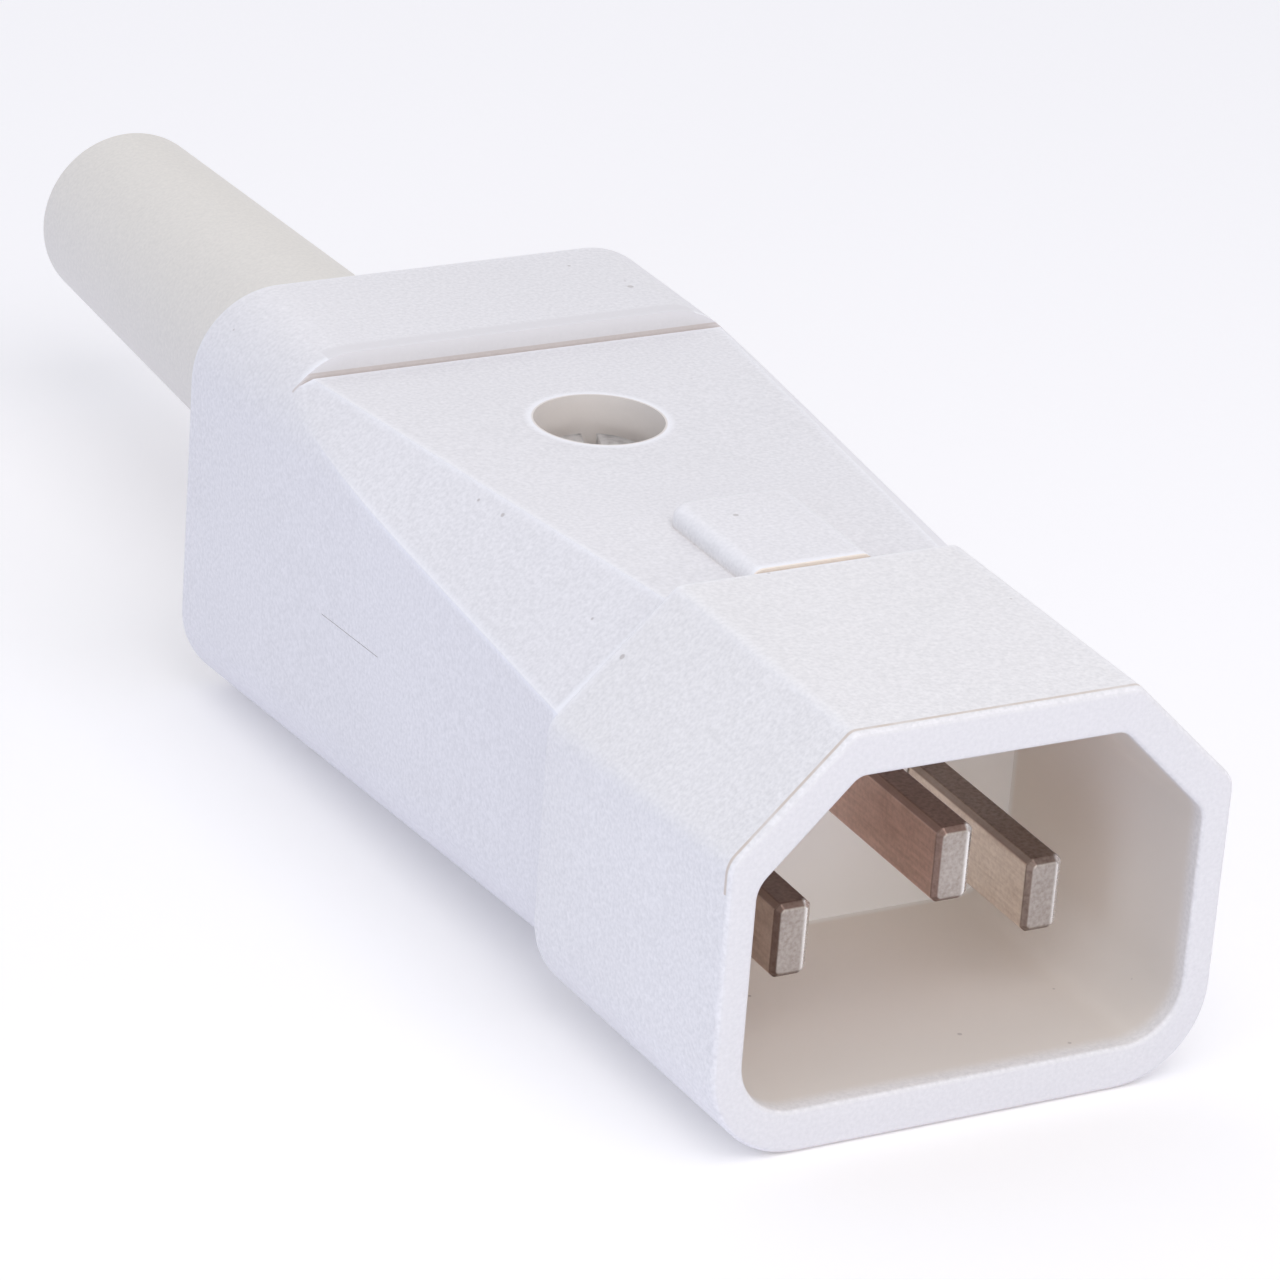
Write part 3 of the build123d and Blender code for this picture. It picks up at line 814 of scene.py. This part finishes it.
class ScrewTree:
    """A Geometry Nodes tree that makes a slotted screw with a real thread."""

    SIZES = (
        "Head Radius", "Head Height", "Core Radius", "Length",
        "Pitch", "Thread Depth", "Slot Width", "Slot Depth", "Turn",
    )
    HEAD_SIDES = 48
    SHANK_SIDES = 32
    TURN_STEPS = 24
    RIDGE_SIDES = 4
    SLOT_REACH = 2.4
    SHANK_SINK = 0.2
    THREAD_LIFT = 0.4

    def __init__(self) -> None:
        """Build the tree."""
        self.tree = bpy.data.node_groups.new("slotted_screw", "GeometryNodeTree")
        self.sockets: dict[str, str] = {}
        for name in self.SIZES:
            self.sockets[name] = self._socket(name, "NodeSocketFloat")
        self.sockets["Seat"] = self._socket("Seat", "NodeSocketVector")
        self.sockets["Finish"] = self._socket("Finish", "NodeSocketMaterial")
        self.tree.interface.new_socket(
            "Geometry", in_out="OUTPUT", socket_type="NodeSocketGeometry"
        )
        self._fill()

    def _socket(self, name: str, kind: str) -> str:
        """Add a named input and return its identifier."""
        return self.tree.interface.new_socket(name, in_out="INPUT", socket_type=kind).identifier

    def _fill(self) -> None:
        """Fill the tree: head less slot, core, thread and place."""
        graph = Graph(self.tree)
        given = graph.node("NodeGroupInput").outputs
        sizes = [Value(graph, given[name]) for name in self.SIZES]
        head_radius, head_height, core, length = sizes[:4]
        pitch, ridge_depth, slot_width, slot_depth, turn = sizes[4:]
        head = self._cylinder(graph, self.HEAD_SIDES, head_radius, head_height)
        head = self._moved(graph, head, head_height / 2)
        inputs = {0: head_radius * self.SLOT_REACH, 1: slot_width, 2: slot_depth * 2}
        inputs = {"Size": graph.value("ShaderNodeCombineXYZ", None, inputs)}
        cutter = graph.node("GeometryNodeMeshCube", None, inputs).outputs["Mesh"]
        rotation = graph.value("ShaderNodeCombineXYZ", None, {2: turn})
        inputs = {"Geometry": cutter, "Rotation": rotation}
        cutter = graph.node("GeometryNodeTransform", None, inputs).outputs[0]
        inputs = {0: head, 1: self._moved(graph, cutter, head_height)}
        less = {"operation": "DIFFERENCE"}
        slotted = graph.node("GeometryNodeMeshBoolean", less, inputs).outputs[0]
        sink = head_height * self.SHANK_SINK
        shank_length = length + sink
        shank = self._cylinder(graph, self.SHANK_SIDES, core, shank_length)
        shank = self._moved(graph, shank, sink - shank_length / 2)
        thread = self._thread(graph, core, length, pitch, ridge_depth)
        inputs = {0: [slotted, shank, thread]}
        joined = graph.node("GeometryNodeJoinGeometry", None, inputs).outputs[0]
        inputs = {"Geometry": joined, "Translation": given["Seat"]}
        seated = graph.node("GeometryNodeTransform", None, inputs).outputs[0]
        real = graph.node("GeometryNodeRealizeInstances", None, {0: seated}).outputs[0]
        inputs = {"Geometry": real, "Material": given["Finish"]}
        finished = graph.node("GeometryNodeSetMaterial", None, inputs).outputs[0]
        graph.node("NodeGroupOutput", None, {0: finished})

    def _thread(
        self, graph: Graph, core: Value, length: Value, pitch: Value, ridge_depth: Value
    ) -> Socket:
        """Return the ridge of the thread, wound round the core.

        Args:
            graph: The tree.
            core: The radius of the core.
            length: The length of the shank below the head.
            pitch: The rise of one turn.
            ridge_depth: How far the ridge stands out of the core.

        Returns:
            The thread, a little above the foot of the shank.
        """
        rise = length - pitch
        inputs = {
            "Resolution": self.TURN_STEPS, "Rotations": rise / pitch,
            "Start Radius": core, "End Radius": core, "Height": rise,
        }
        spiral = graph.node("GeometryNodeCurveSpiral", None, inputs).outputs[0]
        inputs = {"Resolution": self.RIDGE_SIDES, "Radius": ridge_depth}
        ridge = graph.node("GeometryNodeCurvePrimitiveCircle", None, inputs).outputs[0]
        inputs = {"Curve": spiral, "Profile Curve": ridge, "Fill Caps": True}
        swept = graph.node("GeometryNodeCurveToMesh", None, inputs).outputs[0]
        return self._moved(graph, swept, -length + pitch * self.THREAD_LIFT)

    @staticmethod
    def _cylinder(graph: Graph, sides: int, radius: Value, depth: Value) -> Socket:
        """Return an upright closed cylinder centred at the origin."""
        inputs = {"Vertices": sides, "Radius": radius, "Depth": depth}
        return graph.node("GeometryNodeMeshCylinder", {"fill_type": "NGON"}, inputs).outputs["Mesh"]

    @staticmethod
    def _moved(graph: Graph, mesh: Socket, height: Value) -> Socket:
        """Return a mesh moved up by height."""
        lift = graph.value("ShaderNodeCombineXYZ", None, {2: height})
        inputs = {"Geometry": mesh, "Translation": lift}
        return graph.node("GeometryNodeTransform", None, inputs).outputs[0]


@dataclass
class SlottedScrew:
    """One screw, in the place and size of its solid."""

    node: str
    head_height: float
    slot_width: float
    slot_depth: float
    pitch: float = 0.5 * MM
    thread_depth: float = 0.09 * MM
    turn_degrees: float = 25.0
    soft_edge: float = 0.06 * MM
    soft_degrees: float = 70.0
    smooth_degrees: float = 40.0
    foot_height: float = 0.5 * MM

    def build(self, screw_tree: ScrewTree) -> Piece:
        """Return the screw that stands for the node.

        Args:
            screw_tree: The shared tree.

        Returns:
            The finished piece.
        """
        low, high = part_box(self.node)
        core = self._core_radius(low.z)
        sizes = {
            "Head Radius": (high.x - low.x) / 2,
            "Head Height": self.head_height,
            "Core Radius": core - self.thread_depth,
            "Length": high.z - low.z - self.head_height,
            "Pitch": self.pitch,
            "Thread Depth": self.thread_depth,
            "Slot Width": self.slot_width,
            "Slot Depth": self.slot_depth,
            "Turn": math.radians(self.turn_degrees),
        }
        piece = placed(f"{self.node}_threaded", bpy.data.meshes.new(self.node))
        modifier = piece.modifiers.new("screw", "NODES")
        modifier.node_group = screw_tree.tree
        for name, size in sizes.items():
            modifier[screw_tree.sockets[name]] = float(size)
        seat = ((low.x + high.x) / 2, (low.y + high.y) / 2, high.z - self.head_height)
        modifier[screw_tree.sockets["Seat"]] = seat
        modifier[screw_tree.sockets["Finish"]] = SCREW_ZINC.material()
        settle(piece)
        bevel = piece.modifiers.new("soft edges", "BEVEL")
        bevel.limit_method = "ANGLE"
        bevel.angle_limit = math.radians(self.soft_degrees)
        bevel.width = self.soft_edge
        bevel.segments = 2
        settle(piece)
        piece.data.shade_smooth()
        piece.data.set_sharp_from_angle(angle=math.radians(self.smooth_degrees))
        return handed_over(piece, self.node)

    def _core_radius(self, foot: float) -> float:
        """Return the radius of the solid's shank a little above its foot."""
        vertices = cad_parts[self.node].data.vertices
        low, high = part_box(self.node)
        centre = Vector(((low.x + high.x) / 2, (low.y + high.y) / 2))
        top = foot + self.foot_height
        return max((vert.co.xy - centre).length for vert in vertices if vert.co.z < top)


@dataclass
class Fastenings:
    """The screws and nuts, and the clamp bar."""

    nut_edge: float = 0.08 * MM
    fine_pitch: float = 0.45 * MM
    clamp_head: float = 1.6 * MM
    terminal_head: float = 1.4 * MM
    slot_width: float = 0.6 * MM
    slot_depth: float = 0.7 * MM

    def build(self) -> list[Piece]:
        """Return the dressed fastenings."""
        tree = ScrewTree()
        made = [screw.build(tree) for screw in self._screws()]
        for nut in ("housing_nut", "cord_clamp_nut_left", "cord_clamp_nut_right"):
            made.append(
                Moulding(
                    nut, f"{nut}_plated", SCREW_ZINC, Slot.STEEL,
                    widest=self.nut_edge, segments=2, rounding=evenly(self.nut_edge),
                ).build()
            )
        dress_node("cord_clamp_bar", INNER_PLASTIC)
        return made

    def _screws(self) -> list[SlottedScrew]:
        """Return the screw of the housing, those of the clamp and those of the terminals."""
        heads = {f"cord_clamp_screw_{side}": self.clamp_head for side in ("left", "right")}
        heads |= {f"{name}_terminal_screw": self.terminal_head for name in CONTACT_PLATING}
        housing_screw = SlottedScrew(
            "housing_screw", head_height=1.9 * MM, slot_width=0.8 * MM, slot_depth=0.9 * MM,
            thread_depth=0.12 * MM, turn_degrees=72.0,
        )
        return [housing_screw] + [
            SlottedScrew(node, head, self.slot_width, self.slot_depth, pitch=self.fine_pitch)
            for node, head in heads.items()
        ]


@dataclass
class Sleeve:
    """The soft bend-relief sleeve, turned as one closed form."""

    axis: float = -1.87 * MM
    flange_front: float = 57.2 * MM
    flange_rear: float = 59.2 * MM
    body_rear: float = 61.2 * MM
    end: float = 102.9 * MM
    flange_radius: float = 8.2 * MM
    root_radius: float = 6.68 * MM
    end_radius: float = 5.43 * MM
    bore: float = 4.0 * MM
    flange_round: float = 0.25 * MM
    end_round: float = 0.8 * MM
    bore_round: float = 0.4 * MM
    sides: int = 128
    taper_steps: int = 14
    corner_steps: int = 8
    sharp_degrees: float = 50.0

    def profile(self) -> list[Pair]:
        """Return the closed outline as pairs of place along the plug and radius."""
        soft = self.flange_round
        points = self._corner(self.flange_front, self.bore, 1, 1, soft)[::-1]
        points += self._corner(self.flange_front, self.flange_radius, 1, -1, soft)
        points += self._corner(self.flange_rear, self.flange_radius, -1, -1, soft)[::-1]
        points.append((self.flange_rear, self.root_radius))
        for step in range(self.taper_steps + 1):
            share = step / self.taper_steps
            place = self.body_rear + (self.end - self.end_round - self.body_rear) * share
            points.append((place, self.root_radius + (self.end_radius - self.root_radius) * share))
        points += self._corner(self.end, self.end_radius, -1, -1, self.end_round)[::-1][1:]
        points += self._corner(self.end, self.bore, -1, 1, self.bore_round)
        return points

    def _corner(
        self, place: float, radius: float, inward: int, outward: int, size: float
    ) -> list[Pair]:
        """Return a rounded corner of the outline.

        Args:
            place: Where the corner lies along the plug.
            radius: How far the corner is from the axis.
            inward: The way along the plug from the corner to the centre of its rounding.
            outward: The way across the plug from the corner to that centre.
            size: The radius of the rounding.

        Returns:
            Points from the face across the plug to the face along it.
        """
        middle, height = place + inward * size, radius + outward * size
        turns = [math.pi / 2 * step / self.corner_steps for step in range(self.corner_steps + 1)]
        return [
            (middle - inward * size * math.cos(turn), height - outward * size * math.sin(turn))
            for turn in turns
        ]

    def build(self) -> Piece:
        """Return the dressed sleeve."""
        name = "bend_relief_sleeve_turned"
        form = bmesh.new()
        outline = self.profile()
        rings = []
        for side in range(self.sides):
            turn = 2 * math.pi * side / self.sides
            across, up = math.cos(turn), math.sin(turn)
            rings.append(
                [
                    form.verts.new((radius * across, place, self.axis + radius * up))
                    for place, radius in outline
                ]
            )
        for side in range(self.sides):
            here, there = rings[side], rings[(side + 1) % self.sides]
            for step in range(len(outline)):
                after = (step + 1) % len(outline)
                face = form.faces.new((here[step], there[step], there[after], here[after]))
                face.smooth = True
        bmesh.ops.recalc_face_normals(form, faces=form.faces)
        mesh = bpy.data.meshes.new(name)
        form.to_mesh(mesh)
        form.free()
        mesh.set_sharp_from_angle(angle=math.radians(self.sharp_degrees))
        piece = placed(name, mesh)
        mesh.materials.append(SLEEVE_PLASTIC.material())
        return handed_over(piece, "bend_relief_sleeve")


@dataclass(frozen=True)
class Lamp:
    """A soft square lamp aimed at the middle of the plug."""

    name: str
    towards: Place
    distance: float
    size: float
    power: float
    colour: Colour

    def place(self, target: Vector) -> None:
        """Put the lamp in the scene, facing the target."""
        data = bpy.data.lights.new(self.name, "AREA")
        data.shape = "SQUARE"
        data.size = self.size
        data.energy = self.power
        data.color = self.colour
        lamp = bpy.data.objects.new(self.name, data)
        direction = Vector(self.towards).normalized()
        lamp.location = target + direction * self.distance
        lamp.rotation_mode = "QUATERNION"
        lamp.rotation_quaternion = direction.to_track_quat("Z", "Y")
        bpy.context.scene.collection.objects.link(lamp)


@dataclass(frozen=True)
class PhotoCamera:
    """The camera that was fitted to the photograph, with its place in millimetres."""

    place: Place = (-140.0, -214.0, 129.1)
    right: Place = (0.8858, -0.4589, 0.0686)
    forward: Place = (0.4434, 0.7934, -0.4171)
    sensor: float = 36.0
    image: float = 1280.0
    focal: float = 6037.0
    centre: Pair = (621.0, 660.0)
    clip: Pair = (0.01, 10.0)

    def build(self) -> None:
        """Put the camera in the scene."""
        data = bpy.data.cameras.new("camera")
        data.sensor_width = self.sensor
        data.lens = self.focal / self.image * self.sensor
        data.shift_x = (self.image / 2 - self.centre[0]) / self.image
        data.shift_y = (self.centre[1] - self.image / 2) / self.image
        data.clip_start, data.clip_end = self.clip
        camera = bpy.data.objects.new("camera", data)
        right = Vector(self.right).normalized()
        forward = Vector(self.forward).normalized()
        up = right.cross(forward).normalized()
        right = forward.cross(up).normalized()
        turn = Matrix((right, up, -forward)).transposed().to_4x4()
        camera.matrix_world = Matrix.Translation(Vector(self.place) * MM) @ turn
        bpy.context.scene.collection.objects.link(camera)
        bpy.context.scene.camera = camera


@dataclass
class Studio:
    """Floor, light and camera."""

    middle: Place = (0.0, 45 * MM, 0.0)
    rest_front: Pair = (0.35 * MM, -10.97 * MM)
    rest_rear: Pair = (60.7 * MM, -13.0 * MM)
    floor_half: float = 1.6
    sky: Colour = (0.63, 0.645, 0.725)
    lamps: tuple[Lamp, ...] = (
        Lamp("back_light", (0.12, 0.86, 0.50), 0.60, 0.30, 0.16, (1.0, 0.98, 0.97)),
        Lamp("top_light", (-0.05, -0.52, 0.85), 0.27, 0.20, 0.205, (1.0, 0.98, 0.99)),
        Lamp("front_light", (0.04, -0.99, 0.10), 0.80, 0.50, 1.08, (1.0, 0.97, 0.93)),
        Lamp("left_fill", (-0.88, -0.42, 0.22), 0.50, 0.16, 0.20, (0.62, 0.80, 1.0)),
    )

    def build(self) -> None:
        """Build the floor, the light and the camera."""
        self._floor()
        self._world()
        for lamp in self.lamps:
            lamp.place(Vector(self.middle))
        PhotoCamera().build()
        bpy.context.scene.view_settings.view_transform = "Standard"

    def _floor(self) -> None:
        """Lay a pale floor under the two places where the plug rests."""
        run, rise = (rear - front for front, rear in zip(self.rest_front, self.rest_rear))
        slope = rise / run
        form = bmesh.new()
        corners = []
        for x, y in ((-1, -1), (1, -1), (1, 1), (-1, 1)):
            height = self.rest_front[1] + slope * (y * self.floor_half - self.rest_front[0])
            corners.append(form.verts.new((x * self.floor_half, y * self.floor_half, height)))
        form.faces.new(corners)
        mesh = bpy.data.meshes.new("floor")
        form.to_mesh(mesh)
        form.free()
        floor = placed("floor", mesh)
        mesh.materials.append(PaleFloor("pale_floor").material())

    def _world(self) -> None:
        """Light evenly from all round, and show white behind the plug."""
        world = bpy.data.worlds.new("soft_sky")
        bpy.context.scene.world = world
        world.use_nodes = True
        graph = Graph(world.node_tree)
        background = world.node_tree.nodes["Background"]
        seen = seen_directly(graph)
        graph.feed(background.inputs["Color"], graph.mix(seen, self.sky, WHITE))


def seen_directly(graph: Graph) -> Value:
    """Return 1 for what the camera sees, also in metal and through glass."""
    path = graph.node("ShaderNodeLightPath").outputs
    kinds = ("Is Camera Ray", "Is Glossy Ray", "Is Transmission Ray")
    camera, glossy, through = (Value(graph, path[kind]) for kind in kinds)
    return camera.larger(glossy).larger(through)


@dataclass(frozen=True)
class PaleFloor(Finish):
    """A matt pale floor that reads white where nothing shades it."""

    colour: Colour = (0.93, 0.91, 0.88)
    bounced: Colour = (0.87, 0.87, 0.93)
    lift: float = 0.18
    bounced_lift: Colour = (0.45, 0.49, 0.77)
    blotch_scale: float = 12.0
    blotch_shade: float = 0.99
    roughness: float = 0.9
    gloss: float = 0.1

    def dress(self, graph: Graph, surface: bpy.types.Node) -> None:
        """Feed a matt colour, and let the floor glow a little."""
        tone = graph.noise(graph.object_place(), self.blotch_scale)
        deeper = tuple(channel * self.blotch_shade for channel in self.colour)
        seen = seen_directly(graph)
        colour = graph.mix(seen, self.bounced, graph.mix(tone, deeper, self.colour))
        glow = graph.mix(seen, self.bounced_lift, WHITE)
        graph.feed(surface.inputs["Base Color"], colour)
        graph.feed(surface.inputs["Emission Color"], glow)
        surface.inputs["Emission Strength"].default_value = self.lift
        surface.inputs["Roughness"].default_value = self.roughness
        surface.inputs["Specular IOR Level"].default_value = self.gloss


def main() -> None:
    """Dress the plug, set up the studio and report each piece."""
    logging.basicConfig(level=logging.INFO, format="%(message)s")
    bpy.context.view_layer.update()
    made = Housing().build()
    made += Contacts().build()
    made += Fastenings().build()
    made.append(Sleeve().build())
    LOG.info("%d pieces stand for their nodes", len(made))
    Studio().build()


if __name__ == "__main__":
    main()
